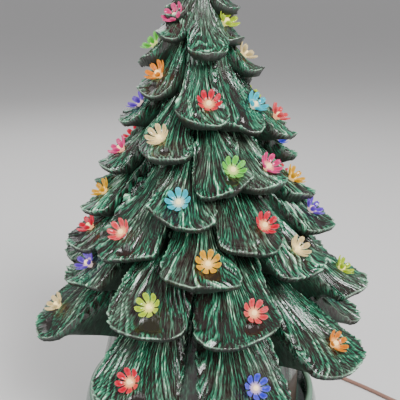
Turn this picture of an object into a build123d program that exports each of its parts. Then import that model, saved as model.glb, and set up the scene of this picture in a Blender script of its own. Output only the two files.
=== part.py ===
from build123d import *
import math
import os

# Lit ceramic tree on a drum base, in millimetres
# Z is up, the table is at Z = 0, the tree's axis is the Z axis and the front faces -Y

# Base
base_height = 65.0
base_radius = 115.0
base_belly_height = 30.0
base_foot_radius = 108.0
base_rim_radius = 110.0
base_wall = 7.0
deck_depth = 12.0
deck_thickness = 7.0
notch_width = 8.0
notch_height = 7.0
notch_azimuth = 150.0

# Tree casting
tree_height = 405.0
tree_foot_radius = 94.0
tree_foot_height = 40.0
crown_radius = 8.0
tree_wall = 5.0

# Branches
crown_reach = 24.5
skirt_reach = 138.0
crown_light_share = 0.89
reach_slope = 0.45
tip_length = 18.0
tip_length_share = 0.065
tip_drop = 13.0
tip_lip = 6.0
branch_body = 17.0
root_rise = 20.0
root_rise_share = 0.28
root_drop = 12.0
root_drop_share = 0.12
half_width = 10.0
half_width_share = 0.205
root_width_share = 0.62
root_sink_share = 0.85
heel_limit_share = 0.6
heel_share = 0.8
cavity_root_share = 0.55
cavity_reach = 8.0
branch_sweep = 140.0
passage_radius = 6.0
passage_share = 0.25

# Flower lights
flower_radius = 10.0
flower_height = 8.0
petal_count = 8
petal_width = 4.6
petal_wall = 1.1
petal_belly_share = 0.55
petal_shoulder_share = 0.85
petal_tip_share = 0.4
heart_radius = 3.6
bead_radius = 2.5
bead_rise = 1.6
collar_radius = 3.4
collar_height = 2.4
peg_radius = 2.3
peg_length = 9.0
peg_tilt = 45.0
light_standoff = 7.0
peg_clearance = 0.2
seat_clearance = 0.6
seat_cut_height = 16.0

# Socket in the deck
socket_radius = 11.5
socket_flange_radius = 16.0
socket_flange_height = 2.5
socket_above = 4.0
socket_below = 9.0
socket_floor = 3.0
socket_clearance = 0.3
liner_radius = 7.4
liner_wall = 0.5
contact_radius = 2.6
contact_height = 0.8
clip_width = 7.0
clip_thickness = 0.8
clip_spread = 2.4

# Bulb
cap_radius = 5.8
cap_height = 15.0
cap_turns = 5
thread_depth = 0.5
tip_contact_radius = 2.4
tip_contact_height = 1.6
glass_radius = 11.0
glass_neck_radius = 5.4
glass_height = 40.0
glass_wall = 0.7
glass_belly_share = 0.42
glass_shoulder_share = 0.72
glass_shoulder_height_share = 0.78
glass_flare_share = 0.4
stem_radius = 2.2
stem_height = 9.0
wire_radius = 0.35
wire_height = 9.0
wire_spread = 3.4
filament_radius = 0.5

# Cord, coil, tie and plug
cord_diameter = 4.4
bend_run_share = 0.45
coil_mean_diameter = 52.0
coil_half_turns = 9
coil_step = 5.8
coil_turn = 50.0
coil_half_turn_samples = 24
coil_apart_samples = 28
tie_width = 9.0
tie_thickness = 0.7
tie_clearance = 0.3
plug_length = 30.0
plug_width = 24.0
plug_thickness = 14.0
plug_neck_length = 14.0
plug_lead = 24.0
plug_neck_radius = 4.2
plug_neck_wall = 1.1
blade_length = 16.0
blade_width = 6.3
blade_thickness = 1.5
blade_pitch = 12.7

# Overrun of every cutter past the face that it cuts
overrun = 1.0

# Branch table: azimuth of the branch from the front, turn of its light from that azimuth,
# height of the light as a share of the tree, share of the usual reach, and light colour
branch_shares = [
    (72, 0, 0.940, 1.40, None),
    (-112, 0, 0.945, 1.40, None),
    (165, 0, 0.945, 1.40, None),
    (-66, 0, 0.925, 1.20, None),
    (120, 0, 0.930, 1.20, None),
    (-155, 0, 0.930, 1.20, None),
    (9, 0, 0.855, 1.10, None),
    (-52, 0, 0.890, 1.20, "pink"),
    (62, 0, 0.880, 1.00, "lime"),
    (120, 0, 0.880, 1.00, "amber"),
    (180, 0, 0.860, 1.00, "purple"),
    (-115, 0, 0.870, 1.00, "aqua"),
    (-92, 0, 0.835, 1.25, "green"),
    (88, 0, 0.815, 1.05, "cream"),
    (-58, 0, 0.780, 1.00, "orange"),
    (132, 0, 0.785, 1.00, "pink"),
    (-175, 0, 0.800, 1.00, "coral"),
    (-126, 0, 0.775, 1.00, "amber"),
    (1, 6, 0.730, 1.00, "crimson"),
    (37, 20, 0.720, 1.00, "aqua"),
    (-86, 0, 0.715, 1.00, "purple"),
    (82, 0, 0.690, 1.13, "coral"),
    (126, 0, 0.715, 1.00, "lime"),
    (171, 0, 0.700, 1.00, "cream"),
    (-139, 0, 0.715, 1.00, "green"),
    (-27, -5, 0.665, 1.00, "cream"),
    (12, 8, 0.610, 1.00, "green"),
    (42, 6, 0.605, 1.00, "pink"),
    (-81, 0, 0.620, 1.00, "pink"),
    (-118, 0, 0.625, 1.00, "crimson"),
    (104, 0, 0.625, 1.00, "blue"),
    (144, 0, 0.620, 1.00, "orange"),
    (-173, 0, 0.610, 1.00, "aqua"),
    (-10, -2, 0.555, 1.00, "aqua"),
    (78, 0, 0.560, 1.00, "amber"),
    (-80, 0, 0.530, 1.00, "amber"),
    (122, 0, 0.535, 1.00, "crimson"),
    (166, 0, 0.545, 1.00, "lime"),
    (-150, 0, 0.540, 1.00, "pink"),
    (-114, 0, 0.545, 1.00, "coral"),
    (26, 7, 0.505, 1.00, "crimson"),
    (76, 0, 0.495, 1.06, "purple"),
    (-38, -4, 0.485, 1.00, "coral"),
    (-77, 0, 0.455, 1.00, "crimson"),
    (0, 3, 0.450, 1.00, "amber"),
    (50, 0, 0.445, 1.00, "cream"),
    (104, 0, 0.455, 1.00, "green"),
    (146, 0, 0.460, 1.00, "purple"),
    (-171, 0, 0.450, 1.00, "orange"),
    (-129, 0, 0.465, 1.00, "cream"),
    (-66, 0, 0.390, 0.95, "purple"),
    (-20, 0, 0.370, 1.00, "lime"),
    (14, 6, 0.360, 1.00, "coral"),
    (80, 0, 0.355, 1.08, "lime"),
    (123, 0, 0.365, 1.00, "pink"),
    (165, 0, 0.370, 1.00, "amber"),
    (-152, 0, 0.360, 1.00, "crimson"),
    (-109, 0, 0.375, 1.00, "green"),
    (-77, 0, 0.275, 1.00, "cream"),
    (-22, -2, 0.230, 1.00, "crimson"),
    (15, 3, 0.225, 1.00, "blue"),
    (57, 0, 0.240, 1.00, "orange"),
    (101, 0, 0.235, 1.00, "aqua"),
    (144, 0, 0.230, 1.00, "coral"),
    (-173, 0, 0.230, 1.00, "purple"),
    (-126, 0, 0.240, 1.00, "amber"),
]

# Tiers of branches, each down to a share of the tree's height
tier_floor_shares = {"crown": 0.81, "upper": 0.69, "middle": 0.53, "lower": 0.44, "skirt": 0.0}

# Route of the cord on the table, from the notch to the coil
cord_rest = cord_diameter / 2
coil_rest = tie_thickness + tie_clearance + cord_diameter / 2
cord_points = [
    (73.0, 126.45, cord_rest),
    (104.0, 137.0, cord_rest),
    (130.0, 124.0, cord_rest),
    (160.0, 97.0, cord_rest),
    (189.0, 72.5, cord_rest),
    (213.0, 48.0, cord_rest),
    (237.0, 27.5, coil_rest),
    (258.0, 10.0, coil_rest),
]

# Heights and radii that several pieces share
rim_inner = base_rim_radius - base_wall
deck_top = base_height - deck_depth
deck_bottom = deck_top - deck_thickness
crown_light_z = deck_top + crown_light_share * tree_height
neck_z = deck_top + tree_foot_height
tree_top = deck_top + tree_height
shoulder_z = tree_top - crown_radius
socket_top = deck_top + socket_above
socket_bottom = deck_bottom - socket_below
liner_bottom = socket_bottom + socket_floor
contact_top = liner_bottom + contact_height
cap_bottom = contact_top + tip_contact_height
cap_top = cap_bottom + cap_height
glass_top = cap_top + glass_height

# Colours of the lights, one node each
colours = sorted({colour for *_, colour in branch_shares if colour})


def at(radius, height):
    return (radius, 0, height)


def around(azimuth):
    return Rotation(0, 0, azimuth - 90)


def revolved(edges, sweep=360.0):
    face = Face(Wire(edges))
    return Solid.revolve(face, sweep, Axis.Z)


# Three points joined by an arc, or by two straight runs where the arc's circle would cross the axis
def bend(start, middle, end):
    arc = ThreePointArc(start, middle, end)
    if arc.arc_center.X > arc.radius:
        return [arc]
    return [Line(start, middle), Line(middle, end)]


def closed_profile(points):
    closed = points + points[:1]
    return [Line(at(*a), at(*b)) for a, b in zip(closed, closed[1:])]


def rod(radius, low, high):
    return Solid.make_cylinder(radius, high - low).moved(Location((0, 0, low)))


def save(node, *solids):
    shape = solids[0] if len(solids) == 1 else Compound(list(solids))
    shape.label = node
    export_step(shape, "parts/" + node + ".step")


def core_radius(height):
    fall = (height - neck_z) / (shoulder_z - neck_z)
    return tree_foot_radius + (crown_radius - tree_foot_radius) * max(0.0, fall)


# Core of the tree: a straight foot, a long cone and a round crown
def core(inset):
    foot = tree_foot_radius - inset
    crown = crown_radius - inset
    low = deck_top - (overrun if inset else 0)
    top = tree_top - inset
    crown_mid = at(crown * math.sqrt(0.5), shoulder_z + crown * math.sqrt(0.5))
    return revolved([
        Line(at(0, low), at(foot, low)),
        Line(at(foot, low), at(foot, neck_z)),
        Line(at(foot, neck_z), at(crown, shoulder_z)),
        ThreePointArc(at(crown, shoulder_z), crown_mid, at(0, top)),
        Line(at(0, top), at(0, low)),
    ])


# Seat of a light on the upper face of its branch
def light_seat(height_share, reach_share):
    light_z = deck_top + height_share * tree_height
    reach = min(crown_reach + (crown_light_z - light_z) * reach_slope, skirt_reach) * reach_share
    seat_r = reach - light_standoff * math.cos(math.radians(peg_tilt))
    seat_z = light_z - light_standoff * math.sin(math.radians(peg_tilt))
    return reach, seat_r, seat_z


# A branch is a stretch of a turned skirt, trimmed to a tongue in plan
def branch(azimuth, height_share, reach_share, inset):
    reach, seat_r, seat_z = light_seat(height_share, reach_share)
    root_z = seat_z + root_rise + root_rise_share * reach
    under_z = seat_z - root_drop - root_drop_share * reach
    sink = cavity_root_share if inset else root_sink_share
    root_r = core_radius(root_z) * sink
    under_r = min(core_radius(under_z) * sink, seat_r * heel_limit_share)
    heel_r = min(root_r, under_r) * heel_share
    tongue = half_width + half_width_share * reach - inset
    tip = tip_length + tip_length_share * reach
    end_r = seat_r + (cavity_reach if inset else tip)
    tip_share = (end_r - seat_r) / tip
    end_z = seat_z - tip_drop * tip_share - inset
    end_low = end_z - tip_lip if not inset else end_z - inset
    body_low = seat_z - branch_body + inset
    side = [
        *bend(at(root_r, root_z - inset), at(seat_r, seat_z - inset), at(end_r, end_z)),
        Line(at(end_r, end_z), at(end_r, end_low)),
        *bend(at(end_r, end_low), at(seat_r, body_low), at(under_r, under_z + inset)),
        Line(at(under_r, under_z + inset), at(heel_r, under_z + inset)),
        Line(at(heel_r, under_z + inset), at(heel_r, root_z - inset)),
        Line(at(heel_r, root_z - inset), at(root_r, root_z - inset)),
    ]
    skirt = revolved(side, branch_sweep).moved(Rotation(0, 0, -branch_sweep / 2))
    heel = tongue * root_width_share
    plan = Wire([
        Line((0, -heel), (seat_r, -tongue)),
        ThreePointArc((seat_r, -tongue), (end_r, 0), (seat_r, tongue)),
        Line((seat_r, tongue), (0, heel)),
        Line((0, heel), (0, -heel)),
    ])
    trim = Solid.extrude(Face(plan), Vector(0, 0, tree_top))
    tongue_solid = skirt.intersect(trim).solids()[0]
    return tongue_solid.moved(around(azimuth))


# Axis of a light: it stands on its seat and leans out and up
def light_location(azimuth, height_share, reach_share):
    _, seat_r, seat_z = light_seat(height_share, reach_share)
    turn = math.radians(azimuth)
    tilt = math.radians(peg_tilt)
    outward = Vector(math.sin(turn), -math.cos(turn), 0)
    origin = outward * seat_r + Vector(0, 0, seat_z)
    axis = outward * math.cos(tilt) + Vector(0, 0, math.sin(tilt))
    across = Vector(math.cos(turn), math.sin(turn), 0)
    return Plane(origin=origin, x_dir=across, z_dir=axis).location


# Copies of a shape at every light of the given colours
def light_places(shape, shades):
    copies = []
    for azimuth, turn, height, reach, colour in branch_shares:
        if colour in shades:
            copies.append(shape.moved(light_location(azimuth + turn, height, reach)))
    return copies


# Hole for the peg of one light, and a seat that opens out around its petals
def light_cutter():
    hole = rod(peg_radius + peg_clearance, -peg_length - overrun, overrun)
    mouth = flower_radius + petal_wall + seat_clearance
    seat = revolved(closed_profile([
        (0, 0),
        (collar_radius + seat_clearance, 0),
        (mouth, flower_height - petal_wall - seat_clearance),
        (mouth, seat_cut_height),
        (0, seat_cut_height),
    ]))
    return hole.fuse(seat)


# One flower light: peg, collar, eight leaning petals around a heart, and a bead in the middle
def flower_light():
    lean = math.degrees(math.atan2(flower_height - collar_height, flower_radius - heart_radius))
    length = math.hypot(flower_height - collar_height, flower_radius - heart_radius)
    heel = -petal_wall
    root = heart_radius * math.sin(math.pi / petal_count)
    full = petal_width / 2
    half = [
        (heel, root),
        (length * petal_belly_share, full),
        (length * petal_shoulder_share, full * petal_shoulder_share),
        (length, full * petal_tip_share),
    ]
    outline = half + [(u, -v) for u, v in reversed(half)]
    plate = Solid.extrude(Face(Wire.make_polygon(outline, close=True)), Vector(0, 0, -petal_wall))
    petal = plate.moved(Location((heart_radius, 0, collar_height), (0, -lean, 0)))
    petals = [petal.moved(Rotation(0, 0, 360 * i / petal_count)) for i in range(petal_count)]
    heart = rod(heart_radius, collar_height - petal_wall, collar_height)
    bead = Solid.make_sphere(bead_radius).moved(Location((0, 0, collar_height + bead_rise)))
    collar = rod(collar_radius, 0, collar_height)
    peg = rod(peg_radius, -peg_length, collar_height)
    return largest(heart.fuse(*petals, bead, collar, peg))


# Opening through the wall of the core, which lets the lamp shine into a hollow branch
def passage(azimuth, height_share, reach_share):
    _, _, seat_z = light_seat(height_share, reach_share)
    wall_r = core_radius(seat_z)
    radius = min(passage_radius, wall_r * passage_share)
    hole = Solid.make_cylinder(radius, wall_r + overrun, Plane((0, 0, seat_z), z_dir=(1, 0, 0)))
    return hole.moved(around(azimuth))


# Those of the other shapes whose boxes meet the box of a shape
def meeting(shape, others):
    box = shape.bounding_box()
    found = []
    for other in others:
        low, high = other.bounding_box().min, other.bounding_box().max
        apart = [a > b for a, b in zip(tuple(box.min), tuple(high))]
        apart += [a > b for a, b in zip(tuple(low), tuple(box.max))]
        if not any(apart):
            found.append(other)
    return found


# Tier of a branch by the height of its light
def tier_of(height_share):
    return next(tier for tier, floor_share in tier_floor_shares.items() if height_share >= floor_share)


def largest(shape):
    return shape.solids().sort_by(SortBy.VOLUME)[-1]


# The casting: a hollow core, and hollow branches that butt on the core and on the branches above them
def tree():
    places = [(azimuth, height, reach) for azimuth, _, height, reach, _ in branch_shares]
    holes = light_places(light_cutter(), colours)
    outers = [branch(*place, 0) for place in places]
    trunk = core(0)
    branches = []
    for i, outer in enumerate(outers):
        body = outer.cut(trunk, *meeting(outer, outers[:i]))
        hollow = branch(*places[i], tree_wall)
        branches.append(largest(body.cut(hollow, *meeting(outer, holes))))
    passages = [passage(*place) for place, row in zip(places, branch_shares) if row[-1]]
    return largest(trunk.cut(core(tree_wall)).cut(*passages, *holes)), branches


# Drum of the base with a round lip and a notch for the cord
def base():
    lip_z = base_height - base_wall / 2
    belly = at(base_radius, base_belly_height)
    inner_belly = at(base_radius - base_wall, base_belly_height)
    lip_top = at(base_rim_radius - base_wall / 2, base_height)
    drum = revolved([
        ThreePointArc(at(base_foot_radius, 0), belly, at(base_rim_radius, lip_z)),
        ThreePointArc(at(base_rim_radius, lip_z), lip_top, at(rim_inner, lip_z)),
        Line(at(rim_inner, lip_z), at(rim_inner, deck_bottom)),
        ThreePointArc(at(rim_inner, deck_bottom), inner_belly, at(base_foot_radius - base_wall, 0)),
        Line(at(base_foot_radius - base_wall, 0), at(base_foot_radius, 0)),
    ])
    arch = notch_height - notch_width / 2
    reach = base_radius + overrun
    notch = Solid.make_box(reach, notch_width, arch + overrun)
    notch = notch.moved(Location((0, -notch_width / 2, -overrun)))
    notch_top = Solid.make_cylinder(notch_width / 2, reach).moved(Location((0, 0, arch), (0, 90, 0)))
    inside = rod(base_foot_radius - base_wall - overrun, -base_height, base_height)
    tunnel = notch.fuse(notch_top).cut(inside).moved(around(notch_azimuth))
    return drum.cut(tunnel).solids()[0]


# Deck inside the drum, which carries the tree and the socket
def base_deck():
    plate = rod(rim_inner, deck_bottom, deck_top)
    hole = rod(socket_radius + socket_clearance, deck_bottom - overrun, deck_top + overrun)
    return plate.cut(hole).solids()[0]


# Lamp socket, its brass lining, its bottom contact and the two spring clips under the deck
def socket_body():
    bore = liner_radius
    return revolved(closed_profile([
        (0, socket_bottom),
        (socket_radius, socket_bottom),
        (socket_radius, deck_top),
        (socket_flange_radius, deck_top),
        (socket_flange_radius, deck_top + socket_flange_height),
        (socket_radius, deck_top + socket_flange_height),
        (socket_radius, socket_top),
        (bore, socket_top),
        (bore, liner_bottom),
        (0, liner_bottom),
    ]))


def socket_liner():
    return rod(liner_radius, liner_bottom, socket_top).cut(
        rod(liner_radius - liner_wall, liner_bottom - overrun, socket_top + overrun)).solids()[0]


def socket_clip(side):
    spread = socket_radius + clip_spread
    foot = deck_bottom - socket_below
    outline = Wire([
        Line(at(socket_radius, foot), at(socket_radius + clip_thickness, foot)),
        Line(at(socket_radius + clip_thickness, foot), at(spread + clip_thickness, deck_bottom)),
        Line(at(spread + clip_thickness, deck_bottom), at(spread, deck_bottom)),
        Line(at(spread, deck_bottom), at(socket_radius, foot + clip_spread)),
        Line(at(socket_radius, foot + clip_spread), at(socket_radius, foot)),
    ])
    strip = Solid.extrude(Face(outline), Vector(0, clip_width, 0)).moved(Location((0, -clip_width / 2, 0)))
    barrel = rod(socket_radius, foot - overrun, deck_bottom + overrun)
    return strip.cut(barrel).solids()[0].moved(Rotation(0, 0, side))


# Night-light bulb: threaded cap, tip contact, flame-shaped glass, stem, wires and filament
def bulb_cap():
    pitch = cap_height / cap_turns
    root = cap_radius - thread_depth
    wave = []
    for i in range(cap_turns):
        low = cap_bottom + i * pitch
        wave += [(root, low), (cap_radius, low + pitch / 2)]
    wave.append((root, cap_top))
    return revolved(closed_profile([(0, cap_bottom)] + wave + [(0, cap_top)]))


def glass_outline(inset):
    neck = at(glass_neck_radius - inset, cap_top)
    belly = at(glass_radius - inset, cap_top + glass_height * glass_belly_share)
    shoulder_r = glass_radius * glass_shoulder_share - inset
    shoulder = at(shoulder_r, cap_top + glass_height * glass_shoulder_height_share)
    top = at(0, glass_top - inset)
    flame = Spline(neck, belly, shoulder, top, tangents=(at(glass_flare_share, 1), at(-1, 0)))
    return [Line(at(0, cap_top), neck), flame, Line(top, at(0, cap_top))]


def bulb_glass():
    return revolved(glass_outline(0)).cut(revolved(glass_outline(glass_wall))).solids()[0]


def bulb_wires():
    low = cap_top + stem_height + wire_radius
    high = low + wire_height + wire_radius
    lean = math.degrees(math.atan2(wire_spread - stem_radius / 2, wire_height))
    wires = []
    for side in (1, -1):
        wire = rod(wire_radius, 0, math.hypot(wire_height, wire_spread - stem_radius / 2))
        wires.append(wire.moved(Location((side * stem_radius / 2, 0, low), (0, side * lean, 0))))
    return wires, high


def bulb_filament(high):
    arch = ThreePointArc((-wire_spread, 0, high), (0, 0, high + wire_spread), (wire_spread, 0, high))
    start = Plane((-wire_spread, 0, high), z_dir=arch % 0)
    section = Face(Wire(Edge.make_circle(filament_radius, start)))
    return Solid.sweep(section, Wire([arch]))


# Cord: lead inside the base, stretch on the table, coil, tie, plug and blades
def cord_radii(points):
    radii = []
    for a, b, c in zip(points, points[1:], points[2:]):
        before = Vector(*b) - Vector(*a)
        after = Vector(*c) - Vector(*b)
        half_turn = math.radians(before.get_angle(after)) / 2
        radii.append(bend_run_share * min(before.length, after.length) / math.tan(half_turn))
    return radii


def cord_tube(name, points):
    radii = cord_radii(points)
    path = FilletPolyline(*points, radius=radii)
    start = Plane(origin=points[0], z_dir=path % 0)
    tube = Solid.sweep(Face(Wire(Edge.make_circle(cord_diameter / 2, start))), Wire(path.edges()))
    filled = tube.volume / (math.pi * cord_diameter**2 / 4 * path.length)
    print(name, "length", round(path.length, 1), "fill", round(filled, 4), "radii", [round(r) for r in radii])
    return tube, path


notch_turn = math.radians(notch_azimuth)
notch_out = Vector(math.sin(notch_turn), -math.cos(notch_turn), 0)
cord_exit = notch_out * base_foot_radius + Vector(0, 0, cord_rest)
lead_points = [
    (0, 0, socket_bottom),
    (0, 0, cord_rest),
    tuple(cord_exit),
]


# Coil: half turns that wind in on the table, climb one layer and wind out again
def coil_path():
    outer = coil_mean_diameter / 2 + coil_half_turns * coil_step / 4
    sides = [outer - k * coil_step / 2 for k in range(coil_half_turns + 1)]
    stops = [(r, coil_rest) for r in sides]
    stops += [(r, coil_rest + coil_step) for r in reversed(sides)]
    points = [Vector(r * (-1) ** k, 0, z) for k, (r, z) in enumerate(stops)]
    arcs = []
    samples = []
    for k, (a, b) in enumerate(zip(points, points[1:])):
        bow = (a - b).length / 2 * (-1) ** (k + 1)
        middle = (a + b) / 2 + Vector(0, bow, 0)
        arc = ThreePointArc(a, middle, b)
        arcs.append(arc)
        samples += [arc @ (i / coil_half_turn_samples) for i in range(coil_half_turn_samples)]
    return arcs, samples, outer


# Least gap between stretches of the coil that lie more than a half turn apart along it
def coil_self_gap(samples):
    least = coil_mean_diameter
    for i, p in enumerate(samples):
        for q in samples[i + coil_apart_samples:]:
            least = min(least, (p - q).length)
    return least - cord_diameter


coil_arcs, coil_samples, coil_outer = coil_path()
coil_start = Vector(*cord_points[-1])
coil_middle = coil_start - Vector(coil_outer, 0, 0).rotate(Axis.Z, coil_turn)
coil_place = Location((coil_middle.X, coil_middle.Y, 0), (0, 0, coil_turn))


def cord_coil():
    entry = Line((coil_outer, cord_diameter, coil_rest), (coil_outer, 0, coil_rest))
    end = coil_arcs[-1] @ 1
    leave = Line(end, end + Vector(0, plug_lead, 0))
    path = Wire([entry] + coil_arcs + [leave])
    section = Face(Wire(Edge.make_circle(cord_diameter / 2, Plane(origin=entry @ 0, z_dir=(0, -1, 0)))))
    print("coil length", round(path.length, 1), "self gap", round(coil_self_gap(coil_samples), 2))
    return Solid.sweep(section, path).moved(coil_place)


def coil_tie():
    inner = coil_mean_diameter / 2 - coil_half_turns * coil_step / 4 - cord_diameter / 2 - tie_clearance
    outer = coil_outer + cord_diameter / 2 + tie_clearance
    high = coil_rest + coil_step + cord_diameter / 2 + tie_clearance
    wrap = Box(outer - inner, tie_width + overrun, high - tie_thickness)
    band = Box(outer - inner + 2 * tie_thickness, tie_width, high + tie_thickness)
    centre = Location(((inner + outer) / 2, 0, (high + tie_thickness) / 2))
    tie = (band - wrap).solids()[0].moved(centre)
    return tie.moved(Rotation(0, 0, -90)).moved(coil_place)


plug_start = coil_arcs[-1] @ 1 + Vector(0, plug_lead, 0)
plug_axis_z = plug_start.Z


def plug_place(solid):
    return solid.moved(Location((plug_start.X, plug_start.Y, 0))).moved(coil_place)


def plug_body():
    neck_start = Plane(origin=(0, 0, plug_axis_z), x_dir=(1, 0, 0), z_dir=(0, 1, 0))
    neck_tip = cord_diameter / 2 + plug_neck_wall
    neck = Solid.make_cone(neck_tip, plug_neck_radius, plug_neck_length, neck_start)
    block = Solid.make_box(plug_width, plug_length, plug_thickness)
    block = block.moved(Location((-plug_width / 2, plug_neck_length, plug_axis_z - plug_thickness / 2)))
    block = block.fillet(plug_thickness / 4, block.edges().filter_by(Axis.Y))
    return plug_place(block.fuse(neck).solids()[0])


def plug_blades():
    blades = []
    front = plug_neck_length + plug_length
    for side in (1, -1):
        blade = Solid.make_box(blade_thickness, blade_length, blade_width)
        left = (side * blade_pitch - blade_thickness) / 2
        corner = (left, front, plug_axis_z - blade_width / 2)
        blades.append(plug_place(blade.moved(Location(corner))))
    return blades


os.makedirs("parts", exist_ok=True)

tree_core, tree_branches = tree()
save("tree_core", tree_core)
for tier in tier_floor_shares:
    in_tier = [body for row, body in zip(branch_shares, tree_branches) if tier_of(row[2]) == tier]
    save("branches_" + tier, *in_tier)

light = flower_light()
for shade in colours:
    save("lights_" + shade, *light_places(light, [shade]))

save("base", base())
save("base_deck", base_deck())
save("socket_body", socket_body())
save("socket_liner", socket_liner())
save("socket_contact", rod(contact_radius, liner_bottom, contact_top))
save("socket_clips", socket_clip(0), socket_clip(180))
save("bulb_cap", bulb_cap())
save("bulb_contact", rod(tip_contact_radius, contact_top, cap_bottom))
save("bulb_glass", bulb_glass())
save("bulb_stem", rod(stem_radius, cap_top, cap_top + stem_height))
lead_wires, wire_top = bulb_wires()
save("bulb_wires", *lead_wires)
save("bulb_filament", bulb_filament(wire_top))

lead, _ = cord_tube("lead", lead_points)
save("cord_lead", lead)
coil_entry = coil_start + Vector(0, cord_diameter, 0).rotate(Axis.Z, coil_turn)
stretch, _ = cord_tube("stretch", [tuple(cord_exit)] + cord_points[:-1] + [tuple(coil_entry)])
save("cord_stretch", stretch)
save("cord_coil", cord_coil())
save("coil_tie", coil_tie())
save("plug_body", plug_body())
save("plug_blades", *plug_blades())
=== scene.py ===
import bmesh
import bpy
import math
import numpy as np
from mathutils import Matrix, Vector


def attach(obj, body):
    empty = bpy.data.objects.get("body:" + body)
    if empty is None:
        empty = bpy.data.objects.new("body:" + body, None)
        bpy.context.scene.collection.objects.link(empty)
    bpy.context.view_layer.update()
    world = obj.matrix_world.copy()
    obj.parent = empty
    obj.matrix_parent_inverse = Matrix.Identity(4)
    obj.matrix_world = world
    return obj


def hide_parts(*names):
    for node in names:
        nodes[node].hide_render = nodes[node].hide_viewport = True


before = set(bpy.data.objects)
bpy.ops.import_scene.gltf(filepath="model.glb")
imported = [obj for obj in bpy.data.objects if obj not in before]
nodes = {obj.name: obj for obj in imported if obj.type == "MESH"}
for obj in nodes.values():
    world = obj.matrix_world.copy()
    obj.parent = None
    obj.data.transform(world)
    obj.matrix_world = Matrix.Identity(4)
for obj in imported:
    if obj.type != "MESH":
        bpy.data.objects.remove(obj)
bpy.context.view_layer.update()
print("frame loaded:", len(nodes), "nodes")


# camera, at the height and tilt of the photo
cameraLook = {"place": (0, -0.540, 0.4257), "tilt": 72, "lens": 56.6, "shiftX": -0.0025}


def makeCamera(look):
    data = bpy.data.cameras.new("photoCamera")
    data.lens = look["lens"]
    data.sensor_width = 36
    data.shift_x = look["shiftX"]
    data.clip_start = 0.01
    camera = bpy.data.objects.new("photoCamera", data)
    camera.location = look["place"]
    camera.rotation_euler = (math.radians(look["tilt"]), 0, 0)
    bpy.context.scene.collection.objects.link(camera)
    bpy.context.scene.camera = camera


makeCamera(cameraLook)
print("camera set")


# small helpers for node trees
def newMaterial(name):
    material = bpy.data.materials.new(name)
    material.use_nodes = True
    tree = material.node_tree
    return material, tree, tree.nodes["Principled BSDF"]


def addNode(tree, kind, **settings):
    node = tree.nodes.new(kind)
    for key, value in settings.items():
        setattr(node, key, value)
    return node


def wire(tree, source, target):
    tree.links.new(source, target)


def mathNode(tree, operation, first, second, clamp=False):
    node = addNode(tree, "ShaderNodeMath", operation=operation, use_clamp=clamp)
    for socket, value in zip(node.inputs, (first, second)):
        if isinstance(value, (int, float)):
            socket.default_value = value
        else:
            wire(tree, value, socket)
    return node.outputs[0]


def mixColours(tree, factor, first, second):
    node = addNode(tree, "ShaderNodeMix", data_type="RGBA")
    for socket, value in zip((node.inputs[0], node.inputs[6], node.inputs[7]), (factor, first, second)):
        if isinstance(value, (int, float)):
            socket.default_value = value
        elif isinstance(value, tuple):
            socket.default_value = (*value, 1)
        else:
            wire(tree, value, socket)
    return node.outputs[2]


def noiseNode(tree, vector, scale, detail=3.0, roughness=0.55):
    node = addNode(tree, "ShaderNodeTexNoise")
    node.inputs["Scale"].default_value = scale
    node.inputs["Detail"].default_value = detail
    node.inputs["Roughness"].default_value = roughness
    wire(tree, vector, node.inputs["Vector"])
    return node.outputs["Fac"]


def rampNode(tree, factor, stops):
    node = addNode(tree, "ShaderNodeValToRGB")
    elements = node.color_ramp.elements
    while len(elements) < len(stops):
        elements.new(0.5)
    for element, (place, colour) in zip(elements, stops):
        element.position = place
        element.color = (*colour, 1)
    wire(tree, factor, node.inputs[0])
    return node.outputs[0]


def spread(tree, value, low, high, newLow=0.0, newHigh=1.0):
    node = addNode(tree, "ShaderNodeMapRange")
    for socket, setting in zip(node.inputs[1:5], (low, high, newLow, newHigh)):
        socket.default_value = setting
    wire(tree, value, node.inputs[0])
    return node.outputs[0]


def bumpNode(tree, height, strength, distance):
    node = addNode(tree, "ShaderNodeBump")
    node.inputs["Strength"].default_value = strength
    node.inputs["Distance"].default_value = distance
    wire(tree, height, node.inputs["Height"])
    return node.outputs["Normal"]


def newGroup(name, inputs, outputs):
    group = bpy.data.node_groups.new(name, "ShaderNodeTree")
    for socketName, kind in inputs:
        group.interface.new_socket(name=socketName, in_out="INPUT", socket_type=kind)
    for socketName, kind in outputs:
        group.interface.new_socket(name=socketName, in_out="OUTPUT", socket_type=kind)
    start = group.nodes.new("NodeGroupInput")
    end = group.nodes.new("NodeGroupOutput")
    return group, start.outputs, end.inputs


def placeGroup(tree, group, **values):
    node = addNode(tree, "ShaderNodeGroup", node_tree=group)
    for key, value in values.items():
        socket = node.inputs[key]
        if isinstance(value, (int, float)):
            socket.default_value = value
        else:
            wire(tree, value, socket)
    return node.outputs


# mottling and fine grain that several finishes share
def makeGrainGroup():
    group, start, end = newGroup(
        "surfaceGrain",
        [("Vector", "NodeSocketVector"), ("Cloud Scale", "NodeSocketFloat"),
         ("Grain Scale", "NodeSocketFloat")],
        [("Cloud", "NodeSocketFloat"), ("Grain", "NodeSocketFloat")],
    )
    for scaleName, outName, detail in (("Cloud Scale", "Cloud", 4), ("Grain Scale", "Grain", 2)):
        noise = addNode(group, "ShaderNodeTexNoise")
        noise.inputs["Detail"].default_value = detail
        wire(group, start["Vector"], noise.inputs["Vector"])
        wire(group, start[scaleName], noise.inputs["Scale"])
        wire(group, noise.outputs["Fac"], end[outName])
    return group


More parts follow.
